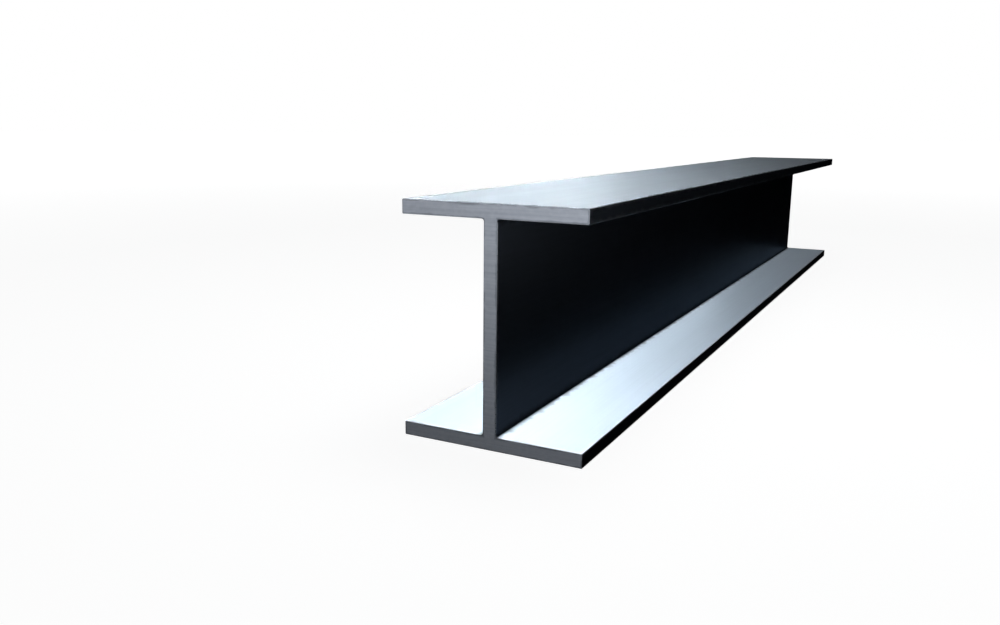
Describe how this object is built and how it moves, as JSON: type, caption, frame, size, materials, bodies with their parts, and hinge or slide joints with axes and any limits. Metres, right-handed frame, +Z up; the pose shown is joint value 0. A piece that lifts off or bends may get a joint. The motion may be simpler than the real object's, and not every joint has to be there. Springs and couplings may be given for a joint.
{
  "type": "steel h-beam",
  "caption": "Straight steel H-beam: wide parallel flanges joined by a web of the same thickness, tight inside corners and square-sawn ends; used as a column, beam or frame member.",
  "frame": {"origin": "middle of the underside of the lower flange, which is what the beam lies on", "axes": "+Y along the beam, +X across the flanges, +Z up through the depth of the section"},
  "size_m": [0.26, 2.12, 0.32],
  "materials": {
    "steel": "clean bare structural steel, satin: bright inner flange faces, duller grey outer ones, dark blue-grey mill skin on the web and the flange edges, a faint lengthwise grain from the rolls, and plain sawn ends"
  },
  "bodies": {
    "root": {"h_beam": "steel"}
  },
  "joints": []
}
